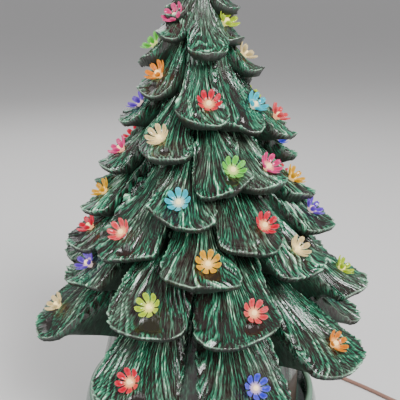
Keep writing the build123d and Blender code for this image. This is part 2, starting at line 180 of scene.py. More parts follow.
# a runny green glaze: pale where it breaks over ridges and rims, dark where it pools; the pale crests are
# partly a painted highlight, the brownish near-black in the grooves is painted shade and a painted reflection
# of a dark room, and grey-brown mottles are a painted reflection of a warm-grey room
glazeLook = {
    "streakGain": 1.9, "cloudGain": 0.22, "middle": 0.5,
    # brownish near-black at the bottom: painted shade and a painted dark-room reflection in the grooves; pale
    # at the top: glaze break and painted highlight
    "green": [
        (0.00, (0.0110, 0.0075, 0.0065)),
        (0.24, (0.0150, 0.0140, 0.0110)),
        (0.38, (0.0080, 0.0480, 0.0270)),
        (0.55, (0.0190, 0.1250, 0.0680)),
        (0.72, (0.0480, 0.2050, 0.1150)),
        (0.87, (0.1250, 0.3200, 0.1950)),
        (1.00, (0.4800, 0.6600, 0.4800)),
    ],
    # grey-brown ramp: a painted reflection of a warm-grey room, mixed in by the mottling
    "greyReflection": [
        (0.00, (0.0120, 0.0080, 0.0070)),
        (0.25, (0.0280, 0.0200, 0.0170)),
        (0.48, (0.0440, 0.0460, 0.0370)),
        (0.66, (0.0700, 0.0960, 0.0700)),
        (0.84, (0.1450, 0.2050, 0.1450)),
        (1.00, (0.5000, 0.6100, 0.4800)),
    ],
    "greyReflectionCloud": (0.46, 0.62), "greyReflectionMost": 0.7,
    # dark brownish colour for glaze pooled in bowls and for painted shade under the lips
    "darkening": (0.0150, 0.0125, 0.0110),
    "rim": (0.3800, 0.5800, 0.4200),
    "roughness": (0.08, 0.26),
}


def makeGlazeGroup(look):
    group, start, end = newGroup(
        "glazeBreak",
        [("Relief", "NodeSocketFloat"), ("Rim", "NodeSocketFloat"), ("Pool", "NodeSocketFloat"),
         ("Streak", "NodeSocketFloat"), ("Cloud", "NodeSocketFloat")],
        [("Color", "NodeSocketColor"), ("Roughness", "NodeSocketFloat")],
    )
    streak = mathNode(group, "SUBTRACT", start["Streak"], look["middle"])
    streak = mathNode(group, "MULTIPLY", streak, look["streakGain"])
    cloud = mathNode(group, "SUBTRACT", start["Cloud"], look["middle"])
    cloud = mathNode(group, "MULTIPLY", cloud, look["cloudGain"])
    height = mathNode(group, "ADD", mathNode(group, "ADD", start["Relief"], streak), cloud, True)
    green = rampNode(group, height, look["green"])
    # painted reflection: grey-brown tones of a warm-grey room, mixed into the glaze by the mottling
    greyReflection = rampNode(group, height, look["greyReflection"])
    greyReflectionShare = spread(group, start["Cloud"], *look["greyReflectionCloud"], 0.0, look["greyReflectionMost"])
    broken = mixColours(group, greyReflectionShare, green, greyReflection)
    # the dark mix carries glaze pooled in the branch bowls and painted shade on the lip fronts, and on the
    # base makes it darker towards the foot
    pooled = mixColours(group, start["Pool"], broken, look["darkening"])
    rimmed = mixColours(group, start["Rim"], pooled, look["rim"])
    wire(group, rimmed, end["Color"])
    wire(group, spread(group, height, 0, 1, *look["roughness"]), end["Roughness"])
    return group


grainGroup = makeGrainGroup()
glazeGroup = makeGlazeGroup(glazeLook)


def objectPoint(tree):
    return addNode(tree, "ShaderNodeTexCoord").outputs["Object"]


def attribute(tree, name):
    return addNode(tree, "ShaderNodeAttribute", attribute_name=name).outputs["Vector"]


def splitVector(tree, vector):
    node = addNode(tree, "ShaderNodeSeparateXYZ")
    wire(tree, vector, node.inputs[0])
    return node.outputs


# metals and plastics of the small fittings
def makeStock(name, colour, roughness, metallic=0.0, cloudScale=60, grainScale=900, shade=0.25, relief=0.15):
    material, tree, shader = newMaterial(name)
    grain = placeGroup(tree, grainGroup, Vector=objectPoint(tree),
                       **{"Cloud Scale": cloudScale, "Grain Scale": grainScale})
    darker = tuple(c * (1 - shade) for c in colour)
    wire(tree, mixColours(tree, grain["Cloud"], darker, colour), shader.inputs["Base Color"])
    worn = spread(tree, grain["Grain"], 0.3, 0.7, roughness * 0.8, roughness * 1.2)
    wire(tree, worn, shader.inputs["Roughness"])
    wire(tree, bumpNode(tree, grain["Grain"], relief, 0.0002), shader.inputs["Normal"])
    shader.inputs["Metallic"].default_value = metallic
    return material


def makeBulbGlass():
    material, tree, shader = newMaterial("bulbGlass")
    grain = placeGroup(tree, grainGroup, Vector=objectPoint(tree), **{"Cloud Scale": 80, "Grain Scale": 400})
    tint = mixColours(tree, grain["Cloud"], (0.93, 0.95, 0.93), (1.0, 0.99, 0.96))
    wire(tree, tint, shader.inputs["Base Color"])
    wire(tree, spread(tree, grain["Grain"], 0.3, 0.7, 0.02, 0.07), shader.inputs["Roughness"])
    shader.inputs["Transmission Weight"].default_value = 1.0
    shader.inputs["IOR"].default_value = 1.48
    return material


def makeFilament():
    material, tree, shader = newMaterial("glowingWire")
    cloud = noiseNode(tree, objectPoint(tree), 900)
    wire(tree, mixColours(tree, cloud, (1.0, 0.45, 0.12), (1.0, 0.72, 0.35)), shader.inputs["Emission Color"])
    wire(tree, mixColours(tree, cloud, (0.5, 0.3, 0.15), (0.7, 0.5, 0.3)), shader.inputs["Base Color"])
    shader.inputs["Emission Strength"].default_value = 12.0
    return material


# lead, lying on the table from the notch in the base, with the rest wound up
cordLook = {
    "diameter": 0.0044,
    "length": 1.80,
    "exit": (0.0540, 0.0935, 0.0022),
    "route": [
        (0.0730, 0.12645, 0.0022),
        (0.1040, 0.1370, 0.0022),
        (0.1300, 0.1240, 0.0022),
        (0.1600, 0.0970, 0.0022),
        (0.1890, 0.0725, 0.0022),
        (0.2130, 0.0480, 0.0022),
        (0.2370, 0.0275, 0.0032),
    ],
    "coilStart": (0.2580, 0.0100, 0.0032),
    "coilMean": 0.0520,
    "coilStep": 0.0058,
    "coilTurn": 50,
    "halfTurns": 9,
    "pointsInHalfTurn": 12,
    "plugLead": 0.0240,
}


def coilPoints(look):
    step = look["coilStep"]
    low = look["coilStart"][2]
    outer = look["coilMean"] / 2 + look["halfTurns"] * step / 4
    radii = [outer - k * step / 2 for k in range(look["halfTurns"] + 1)]
    stops = [(r, low) for r in radii] + [(r, low + step) for r in reversed(radii)]
    stops = [Vector((r * (-1) ** k, 0, z)) for k, (r, z) in enumerate(stops)]
    points = [Vector((outer, look["diameter"], low))]
    for k, (a, b) in enumerate(zip(stops, stops[1:])):
        half = (a - b) / 2
        bow = Vector((0, half.length * (-1) ** (k + 1), 0))
        for i in range(look["pointsInHalfTurn"]):
            angle = math.pi * i / look["pointsInHalfTurn"]
            points.append((a + b) / 2 + half * math.cos(angle) + bow * math.sin(angle))
    lead = Vector((0, look["plugLead"], 0))
    points += [stops[-1], stops[-1] + lead / 2, stops[-1] + lead]
    turn = Matrix.Rotation(math.radians(look["coilTurn"]), 4, "Z")
    middle = Vector(look["coilStart"]) - turn @ Vector((outer, 0, 0))
    shift = Matrix.Translation((middle.x, middle.y, 0))
    return [shift @ turn @ p for p in points]


def makeCord(look, material):
    points = [Vector(look["exit"])] + [Vector(p) for p in look["route"]] + coilPoints(look)
    data = bpy.data.curves.new("mainsLead", "CURVE")
    data.dimensions = "3D"
    spline = data.splines.new("NURBS")
    spline.points.add(len(points) - 1)
    for knot, point in zip(spline.points, points):
        knot.co = (*point, 1)
    spline.order_u = 3
    spline.use_endpoint_u = True
    spline.resolution_u = 6
    data.bevel_depth = look["diameter"] / 2
    data.bevel_resolution = 3
    data.use_fill_caps = True
    data.materials.append(material)
    cord = bpy.data.objects.new("mainsLead", data)
    bpy.context.scene.collection.objects.link(cord)
    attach(cord, "base")
    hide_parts("cord_stretch", "cord_coil")


vinyl = makeStock("brownVinyl", (0.30, 0.165, 0.125), 0.38, cloudScale=90, grainScale=1500, shade=0.3)
makeCord(cordLook, vinyl)
print("lead laid")


# shape of the tree, with the same sizes as the casting
treeLook = {
    "deckTop": 0.053,
    "height": 0.405,
    "footRadius": 0.094,
    "neck": 0.093,
    "crownRadius": 0.008,
    "shoulder": 0.450,
    "wall": 0.005,
    "crownReach": 0.0245,
    "skirtReach": 0.138,
    "crownLight": 0.89,
    "reachSlope": 0.45,
    "standoff": 0.007,
}

# branch by branch: turn from the front, turn of its light, height share, reach share, colour
branchRows = [
    (72, 0, 0.940, 1.40, None),
    (-112, 0, 0.945, 1.40, None),
    (165, 0, 0.945, 1.40, None),
    (-66, 0, 0.925, 1.20, None),
    (120, 0, 0.930, 1.20, None),
    (-155, 0, 0.930, 1.20, None),
    (9, 0, 0.855, 1.10, None),
    (-52, 0, 0.890, 1.20, "pink"),
    (62, 0, 0.880, 1.00, "lime"),
    (120, 0, 0.880, 1.00, "amber"),
    (180, 0, 0.860, 1.00, "purple"),
    (-115, 0, 0.870, 1.00, "aqua"),
    (-92, 0, 0.835, 1.25, "green"),
    (88, 0, 0.815, 1.05, "cream"),
    (-58, 0, 0.780, 1.00, "orange"),
    (132, 0, 0.785, 1.00, "pink"),
    (-175, 0, 0.800, 1.00, "coral"),
    (-126, 0, 0.775, 1.00, "amber"),
    (1, 6, 0.730, 1.00, "crimson"),
    (37, 20, 0.720, 1.00, "aqua"),
    (-86, 0, 0.715, 1.00, "purple"),
    (82, 0, 0.690, 1.13, "coral"),
    (126, 0, 0.715, 1.00, "lime"),
    (171, 0, 0.700, 1.00, "cream"),
    (-139, 0, 0.715, 1.00, "green"),
    (-27, -5, 0.665, 1.00, "cream"),
    (12, 8, 0.610, 1.00, "green"),
    (42, 6, 0.605, 1.00, "pink"),
    (-81, 0, 0.620, 1.00, "pink"),
    (-118, 0, 0.625, 1.00, "crimson"),
    (104, 0, 0.625, 1.00, "blue"),
    (144, 0, 0.620, 1.00, "orange"),
    (-173, 0, 0.610, 1.00, "aqua"),
    (-10, -2, 0.555, 1.00, "aqua"),
    (78, 0, 0.560, 1.00, "amber"),
    (-80, 0, 0.530, 1.00, "amber"),
    (122, 0, 0.535, 1.00, "crimson"),
    (166, 0, 0.545, 1.00, "lime"),
    (-150, 0, 0.540, 1.00, "pink"),
    (-114, 0, 0.545, 1.00, "coral"),
    (26, 7, 0.505, 1.00, "crimson"),
    (76, 0, 0.495, 1.06, "purple"),
    (-38, -4, 0.485, 1.00, "coral"),
    (-77, 0, 0.455, 1.00, "crimson"),
    (0, 3, 0.450, 1.00, "amber"),
    (50, 0, 0.445, 1.00, "cream"),
    (104, 0, 0.455, 1.00, "green"),
    (146, 0, 0.460, 1.00, "purple"),
    (-171, 0, 0.450, 1.00, "orange"),
    (-129, 0, 0.465, 1.00, "cream"),
    (-66, 0, 0.390, 0.95, "purple"),
    (-20, 0, 0.370, 1.00, "lime"),
    (14, 6, 0.360, 1.00, "coral"),
    (80, 0, 0.355, 1.08, "lime"),
    (123, 0, 0.365, 1.00, "pink"),
    (165, 0, 0.370, 1.00, "amber"),
    (-152, 0, 0.360, 1.00, "crimson"),
    (-109, 0, 0.375, 1.00, "green"),
    (-77, 0, 0.275, 1.00, "cream"),
    (-22, -2, 0.230, 1.00, "crimson"),
    (15, 3, 0.225, 1.00, "blue"),
    (57, 0, 0.240, 1.00, "orange"),
    (101, 0, 0.235, 1.00, "aqua"),
    (144, 0, 0.230, 1.00, "coral"),
    (-173, 0, 0.230, 1.00, "purple"),
    (-126, 0, 0.240, 1.00, "amber"),
]


def coreRadius(height):
    fall = (height - treeLook["neck"]) / (treeLook["shoulder"] - treeLook["neck"])
    return treeLook["footRadius"] + (treeLook["crownRadius"] - treeLook["footRadius"]) * max(0.0, fall)


# reach of a light and the point where it stands on its branch
def lightSeat(heightShare, reachShare):
    crownLightZ = treeLook["deckTop"] + treeLook["crownLight"] * treeLook["height"]
    lightZ = treeLook["deckTop"] + heightShare * treeLook["height"]
    usual = treeLook["crownReach"] + (crownLightZ - lightZ) * treeLook["reachSlope"]
    reach = min(usual, treeLook["skirtReach"]) * reachShare
    drop = treeLook["standoff"] * math.sqrt(0.5)
    return reach, reach - drop, lightZ - drop


# axis of a light, leaning out at 45 degrees
def lightMatrix(azimuth, heightShare, reachShare):
    _, seatR, seatZ = lightSeat(heightShare, reachShare)
    turn = math.radians(azimuth)
    outward = Vector((math.sin(turn), -math.cos(turn), 0))
    axis = (outward + Vector((0, 0, 1))).normalized()
    across = Vector((math.cos(turn), math.sin(turn), 0))
    matrix = Matrix((across, axis.cross(across), axis)).transposed().to_4x4()
    matrix.translation = outward * seatR + Vector((0, 0, seatZ))
    return matrix


# branches: tongues with combed strands that fan out to a rolled lip
branchLook = {
    "tipLength": 0.018, "tipShare": 0.065, "tipDrop": 0.013, "tipInset": 0.003,
    "body": 0.017, "rootRise": 0.020, "rootRiseShare": 0.28, "rootDrop": 0.012, "rootDropShare": 0.12,
    "rootMost": 0.75, "underRootMost": 0.6,
    "halfWidth": 0.010, "halfWidthShare": 0.205, "fullHalfWidth": 0.026,
    "rootWidthShare": 0.62, "rootCrowding": 0.9, "fanLengthPower": 0.92, "fanWidthPower": 1.7,
    "frontShare": 0.60, "sideRoot": 0.22, "flankNarrowing": 0.30, "sideSpare": 0.12,
    "rowsAlong": 36, "rowsPower": 1.55, "vertsInStrand": 4, "strandPitch": 0.0040, "leastStrands": 11,
    "flankShare": 0.6, "flankBand": (0.40, 0.75), "flankDrop": 0.5, "flankFade": 0.6, "flankRelief": 0.26,
    "outlineLumps": 0.22, "lumpRange": (0.3, 1), "lumpTurns": (1.0, 1.7, 2.9), "lumpPhase": 6.28,
    "lumpPitch": 2.4, "lumpSideShare": 0.6, "outlineLean": 0.55, "lipSamples": 121,
    "crossBend": 0.5, "sideDrop": 0.20, "sideDropPower": 2.2,
    "lipWave": 0.0034, "lipWavePitch": 2.6, "lipWaveBand": (0.45, 1.0),
    "strandDepth": 0.0020, "rootDepth": 0.45, "depthBand": (0.0, 0.7), "rootBand": (-0.05, 0.12),
    "scallop": 0.0024, "scallopMiddle": 0.6, "scallopBand": (0.86, 1.0),
    "outwardFrom": 0.9, "outwardLeast": 0.002,
    "bowlDepth": 0.0026, "bowlShare": 0.5, "bowlPlace": (0.35, 0.6), "bowlSide": 0.42,
    "bowlSize": (0.16, 0.34), "smallBowl": 0.3, "bowlStretch": 1.2, "bowlBand": (0.45, 1.0),
    "bowlCalm": 0.9, "calmRelief": 0.10,
    "edgeBand": (0.90, 0.985), "edgeLift": 0.0010, "edgeLiftBand": (0.88, 0.97),
    "rimBand": (0.987, 0.998), "rimLevel": 0.50, "rimSway": 0.60, "rimPitch": 4, "rimWaves": (6, 6, 4),
    "rimLeast": 0.35,
    "lipRoll": 0.0007, "lipFront": 0.0036, "lipUndercut": 0.0026, "lipPush": 0.0002,
    "lipRelief": (0.9, 0.4), "lipShade": 0.8,
    "underRings": ((0.90, 0.72), (0.55, 0.42), (0.06, 0.30)), "underRelief": 0.15, "underKept": 0.70,
    "dishGap": 0.0004, "dishFrom": 0.004, "dishSlope": 0.82, "dishStrands": 0.7, "dishSink": 0.0010,
    "petalReach": 0.0106, "dishWall": 3,
}
strandLook = {
    "swirl": 0.2, "fan": 0.12, "drift": 1.9, "driftWaves": (6, 5), "wander": 0.30, "wanderWaves": (24, 14),
    "tableShare": 4, "tableMiddle": 1.5, "tallness": (0.35, 1.25),
    "peak": 0.38, "peakSway": 0.24, "peakTurn": 2.4, "crestPower": 0.8,
    "strength": 0.85, "strengthSway": 0.30, "strengthWaves": (11, 3, 3), "strengthRange": (0.15, 1.3),
    "finePitch": 2.6, "fineDrift": 0.6, "fineWaves": (14, 10), "finePower": 1.3,
    "heightLevel": 0.35, "heightFine": 0.22,
    "ridgeCrest": 0.74, "ridgeLevel": 0.10, "ridgeFine": 0.20, "ridgeSink": 0.06,
}


def eased(value, low, high):
    t = np.clip((value - low) / (high - low), 0, 1)
    return t * t * (3 - 2 * t)


# slow waves over (u, v), in place of noise, so that each branch is its own
def waves(u, v, rng, fu, fv, count=5):
    total = np.zeros_like(u)
    for _ in range(count):
        a, b, phase = rng.uniform(-fu, fu), rng.uniform(-fv, fv), rng.uniform(0, 2 * math.pi)
        total += np.sin(a * u + b * v + phase)
    return total / math.sqrt(count)


def quadraticThrough(points):
    r, z = zip(*points)
    fit = np.polyfit(r, z, 2)
    return lambda x: np.polyval(fit, x)


class BranchForm:
    def __init__(self, row, number):
        look = branchLook
        self.azimuth, self.turn, heightShare, reachShare, self.colour = row
        self.rng = np.random.default_rng(100 + number)
        reach, self.seatR, self.seatZ = lightSeat(heightShare, reachShare)
        self.light = lightMatrix(self.azimuth + self.turn, heightShare, reachShare)
        self.half = look["halfWidth"] + look["halfWidthShare"] * reach
        self.scale = min(1.0, self.half / look["fullHalfWidth"])
        tip = look["tipLength"] + look["tipShare"] * reach
        rootZ = self.seatZ + look["rootRise"] + look["rootRiseShare"] * reach
        underZ = self.seatZ - look["rootDrop"] - look["rootDropShare"] * reach
        self.rootR = min(coreRadius(rootZ) - treeLook["wall"] / 2, self.seatR * look["rootMost"])
        self.endR = self.seatR + tip - look["tipInset"]
        endZ = self.seatZ - look["tipDrop"]
        self.topLine = quadraticThrough([(self.rootR, rootZ), (self.seatR, self.seatZ), (self.endR, endZ)])
        underR = min(coreRadius(underZ) - treeLook["wall"], self.seatR * look["underRootMost"])
        self.underLine = quadraticThrough([
            (underR, underZ), (self.seatR, self.seatZ - look["body"]), (self.endR, endZ - look["lipFront"])])
        self.lean = self.rng.uniform(-1, 1)
        self.lumps = []
        for turns in look["lumpTurns"]:
            size = look["outlineLumps"] * self.rng.uniform(*look["lumpRange"]) / turns
            self.lumps.append((size, turns, self.rng.uniform(0, look["lumpPhase"])))
        # strands are shared out along the lip, and more sparsely along the flanks
        v = np.linspace(0, 1, look["lipSamples"])
        x, y = self.plan(np.ones_like(v), v)
        steps = np.hypot(np.diff(x), np.diff(y)) * np.where(v[1:] > look["frontShare"], look["flankShare"], 1)
        lengths = np.concatenate([[0], np.cumsum(steps)])
        self.edge = lengths[-1]
        self.edgeTable = lengths / self.edge, v
        self.strands = max(look["leastStrands"], round(2 * self.edge / look["strandPitch"]))

    # place round the lip, v, at a share w of its length
    def lipShare(self, w):
        return np.sign(w) * np.interp(np.abs(w), *self.edgeTable)

    # plan of the fan: strands leave the root side by side and end all round an uneven lip
    def plan(self, u, v):
        look = branchLook
        along = np.abs(v)
        angle = np.clip(along / look["frontShare"], 0, 1) * math.pi / 2
        back = np.clip((along - look["frontShare"]) / (1 - look["frontShare"]), 0, 1)
        sideX = self.rootR + look["sideRoot"] * (self.seatR - self.rootR)
        lumps = sum(a * np.sin(look["lumpPitch"] * f * v + p) for a, f, p in self.lumps)
        stretch = 1 + look["outlineLean"] * self.lean * np.sin(angle) * np.sign(v) * (1 - back) + lumps
        stretch = np.minimum(stretch, 1.0 + look["sideSpare"] * np.sin(angle))
        endX = self.seatR + (self.endR - self.seatR) * np.cos(angle) * stretch + (sideX - self.seatR) * back
        sideways = np.minimum(1 + look["lumpSideShare"] * lumps, 1.0)
        endY = self.half * np.sin(angle) * (1 - look["flankNarrowing"] * back) * sideways
        startY = self.half * look["rootWidthShare"] * along * look["rootCrowding"]
        x = self.rootR + (endX - self.rootR) * u ** look["fanLengthPower"]
        y = startY + (endY - startY) * u ** look["fanWidthPower"]
        return x, y * np.sign(v)

    def topPoints(self, u, v):
        look = branchLook
        x, y = self.plan(u, v)
        z = self.topLine(np.hypot(x, y * look["crossBend"]))
        z -= look["sideDrop"] * self.half * (np.abs(y) / self.half) ** look["sideDropPower"]
        wave = sum(np.sin(f * v * look["lipWavePitch"] + p) / f for _, f, p in self.lumps)
        z += look["lipWave"] * self.scale * wave * eased(u, *look["lipWaveBand"])
        return np.stack([x, y, z], -1)

    def underPoints(self, u, v, narrow):
        x, y = self.plan(u, v)
        return np.stack([x, y * narrow, self.underLine(x)], -1)

    # wavy strands with sharp crests, which lean, split and merge
    def strandHeights(self, u, w):
        look = strandLook
        rng = self.rng
        table = look["tableShare"] * self.strands
        swirl = rng.uniform(-look["swirl"], look["swirl"]) * np.sin(math.pi * u)
        swirl = swirl + look["fan"] * w * (1 - w * w) * rng.uniform(-1, 1)
        phase = (w + swirl) * self.strands / 2
        phase = phase + look["drift"] * waves(u, w, rng, *look["driftWaves"])
        phase = phase + look["wander"] * waves(u, w, rng, *look["wanderWaves"])
        phase += look["tableMiddle"] * self.strands
        tallness = rng.uniform(*look["tallness"], table)
        shift = rng.uniform(-1, 1, table)
        index = np.clip(np.floor(phase).astype(int), 0, table - 1)
        t = phase - np.floor(phase)
        peak = look["peak"] + look["peakSway"] * np.sin(index * look["peakTurn"])
        side = np.where(t < peak, t / peak, (1 - t) / (1 - peak))
        crest = side ** look["crestPower"]
        strength = look["strength"] + look["strengthSway"] * waves(u, w + index, rng, *look["strengthWaves"])
        strength = tallness[index] * strength
        level = np.interp(phase, np.arange(table) + 0.5, shift)
        fine = phase * look["finePitch"] + look["fineDrift"] * waves(u, w, rng, *look["fineWaves"])
        fineCrest = 1 - np.abs(2 * (fine - np.floor(fine)) - 1) ** look["finePower"]
        ridge = crest * np.clip(strength, *look["strengthRange"])
        height = ridge + look["heightLevel"] * level + look["heightFine"] * fineCrest
        ridge = look["ridgeCrest"] * ridge + look["ridgeLevel"] * level + look["ridgeFine"] * fineCrest
        return ridge - look["ridgeSink"], height

    # top of the branch: strands, a bowl where the glaze pools, a raised edge and a scalloped lip
    def sculpt(self, u, w):
        look = branchLook
        rng = self.rng
        v = self.lipShare(w)
        points = self.topPoints(u, v)
        du = np.gradient(points, axis=0)
        dv = np.gradient(points, axis=1)
        normal = np.cross(du, dv)
        normal /= np.linalg.norm(normal, axis=-1, keepdims=True) + 1e-12
        ridge, height = self.strandHeights(u, w)
        bowlX = self.seatR + (self.endR - self.seatR) * rng.uniform(*look["bowlPlace"])
        bowlY = self.half * rng.uniform(-look["bowlSide"], look["bowlSide"])
        bowlSize = self.half * rng.uniform(*look["bowlSize"])
        bowlSize *= 1 if rng.uniform() < look["bowlShare"] else look["smallBowl"]
        away = np.hypot((points[..., 0] - bowlX) * look["bowlStretch"], points[..., 1] - bowlY) / bowlSize
        bowl = 1 - eased(away, *look["bowlBand"])
        edge = eased(u, *look["edgeBand"])
        sway = look["rimSway"] * waves(v * look["rimPitch"], v, rng, *look["rimWaves"])
        broken = eased(u, *look["rimBand"]) * np.clip(look["rimLevel"] + sway, 0.0, 1)
        rim = broken * (look["rimLeast"] + (1 - look["rimLeast"]) * np.clip(ridge, 0, 1))
        calm = (1 - look["bowlCalm"] * bowl * (1 - edge)) * eased(u, *look["rootBand"])
        deepening = look["rootDepth"] + (1 - look["rootDepth"]) * eased(u, *look["depthBand"])
        lift = look["strandDepth"] * self.scale * (height - 0.5) * calm * deepening
        lift -= look["bowlDepth"] * self.scale * bowl * (1 - edge)
        lift += look["edgeLift"] * self.scale * eased(u, *look["edgeLiftBand"])
        points = points + normal * lift[..., None]
        outX = np.maximum(points[..., 0] - self.seatR * look["outwardFrom"], look["outwardLeast"])
        outward = np.stack([outX, points[..., 1], np.zeros_like(u)], -1)
        outward /= np.linalg.norm(outward, axis=-1, keepdims=True)
        scallop = look["scallop"] * self.scale * (ridge - look["scallopMiddle"])
        scallop = scallop * eased(u, *look["scallopBand"])
        points += outward * scallop[..., None]
        relief = np.clip(ridge * calm + look["calmRelief"] * (1 - calm), 0, 1)
        return points, relief, rim, bowl * (1 - edge), lift

    # turn from the branch's own plane to its place on the tree
    def place(self, points):
        turn = math.radians(self.azimuth)
        x, y, z = points[..., 0], points[..., 1], points[..., 2]
        placedX = x * math.sin(turn) + y * math.cos(turn)
        placedY = -x * math.cos(turn) + y * math.sin(turn)
        return np.stack([placedX, placedY, z], -1)

    # hollow out a dish under the petals of the light
    def dish(self, placed, lift):
        look = branchLook
        if not self.colour:
            return placed
        inverse = np.array(self.light.inverted())
        local = placed @ inverse[:3, :3].T + inverse[:3, 3]
        r = np.hypot(local[..., 0], local[..., 1])
        limit = np.maximum(0, (r - look["dishFrom"]) * look["dishSlope"]) - look["dishGap"]
        limit += np.minimum(look["dishStrands"] * lift - look["dishSink"], 0)
        limit += np.maximum(0, r - look["petalReach"]) * look["dishWall"]
        local[..., 2] = np.minimum(local[..., 2], limit)
        forward = np.array(self.light)
        return local @ forward[:3, :3].T + forward[:3, 3]


def moveVerts(verts, places):
    for vert, place in zip(verts, places.reshape(-1, 3)):
        vert.co = place


# strands run on over the lip, and slant down along the flanks
def combDown(vert, layers, drop, flank):
    along, across, number = vert[layers["comb"]]
    vert[layers["comb"]] = (along + (1 - flank) * drop, across + flank * math.copysign(drop, across), number)


def flankAt(vert, layers):
    return float(eased(abs(vert[layers["sheet"]][1]), *branchLook["flankBand"]))


def combBranch(bm, layers, row, number):
    look = branchLook
    form = BranchForm(row, number)
    across = form.strands * look["vertsInStrand"]
    made = bmesh.ops.create_grid(bm, x_segments=look["rowsAlong"], y_segments=across, size=0.5)
    verts = made["verts"]
    flat = np.array([v.co for v in verts])
    order = np.lexsort((flat[:, 1], flat[:, 0]))
    verts = [verts[i] for i in order]
    columns = len(np.unique(np.round(flat[:, 0], 6)))
    flat = flat[order].reshape(columns, -1, 3)
    u = 1 - (0.5 - flat[..., 0]) ** look["rowsPower"]
    w = 2 * flat[..., 1]
    points, ridge, rim, bowl, lift = form.sculpt(u, w)
    v = form.lipShare(w)
    moveVerts(verts, form.dish(form.place(points), lift))
    combX = np.linalg.norm(points - points[:1], axis=-1)
    combY = w * form.edge
    tables = [table.flat for table in (u, v, combX, combY, ridge, rim, bowl)]
    for vert, uu, vv, x, y, b, c, d in zip(verts, *tables):
        vert[layers["sheet"]] = (uu, vv, number)
        vert[layers["comb"]] = (x, y, number)
        vert[layers["relief"]] = (b, c, d)
    # roll the edge down and close the body underneath, ring by ring; the front of the lip gets less relief
    # and the dark mix, painted shade under the rolled edge
    edges = [e for e in {e for v in verts for e in v.link_edges} if e.is_boundary]
    rollKept, frontKept = look["lipRelief"]
    for push, drop, kept, shade in ((look["lipPush"], look["lipRoll"], rollKept, 0.0),
                                    (-look["lipUndercut"], look["lipFront"], frontKept, look["lipShade"])):
        edges, ring = extrudeRing(bm, edges)
        for vert in ring:
            radial = Vector((vert.co.x, vert.co.y, 0)).normalized()
            flank = flankAt(vert, layers)
            vert.co += radial * push + Vector((0, 0, -drop * (1 + look["flankDrop"] * flank * form.scale)))
            combDown(vert, layers, drop, flank)
            ridge = vert[layers["relief"]][0] * kept * (1 - look["flankFade"] * flank)
            vert[layers["relief"]] = (ridge + look["flankRelief"] * flank, 0, shade * (1 - flank))
    for inset, narrow in look["underRings"]:
        edges, ring = extrudeRing(bm, edges)
        sheet = np.array([vert[layers["sheet"]] for vert in ring])
        places = form.place(form.underPoints(sheet[:, 0] * inset, sheet[:, 1], narrow))
        heights = [vert.co.z for vert in ring]
        moveVerts(ring, places)
        for vert, height in zip(ring, heights):
            combDown(vert, layers, height - vert.co.z, flankAt(vert, layers))
            relief = look["underRelief"] + look["underKept"] * vert[layers["relief"]][0]
            vert[layers["relief"]] = (relief, 0, 0)
    bmesh.ops.holes_fill(bm, edges=edges, sides=0)


def extrudeRing(bm, edges):
    made = bmesh.ops.extrude_edge_only(bm, edges=edges)["geom"]
    ring = [g for g in made if isinstance(g, bmesh.types.BMVert)]
    corners = set(ring)
    edges = [g for g in made if isinstance(g, bmesh.types.BMEdge) and all(v in corners for v in g.verts)]
    return edges, ring


def finishPiece(bm, name, material, body, slotName, *replaced):
    bmesh.ops.recalc_face_normals(bm, faces=bm.faces[:])
    for face in bm.faces:
        face.smooth = True
    mesh = bpy.data.meshes.new(name)
    bm.to_mesh(mesh)
    bm.free()
    mesh.materials.append(material)
    piece = bpy.data.objects.new(name, mesh)
    bpy.context.scene.collection.objects.link(piece)
    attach(piece, body)
    if replaced:
        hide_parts(*replaced)
    return piece


treeGlazeLook = {
    "combStretch": (120, 760, 3.7), "cloudScale": 38, "grainScale": 520,
    "footBand": (0.096, 0.090), "biscuit": ((0.050, 0.035, 0.027), (0.105, 0.076, 0.058)),
    "underBand": (-0.12, -0.5), "underShade": (0.008, 0.018, 0.012), "underMost": 0.6, "dullRoughness": 0.6,
    "coat": (0.45, 0.1), "coatRoughness": 0.08, "specular": 0.25,
    "grainShare": 0.25, "bump": 0.55, "bumpDepth": 0.0007,
}


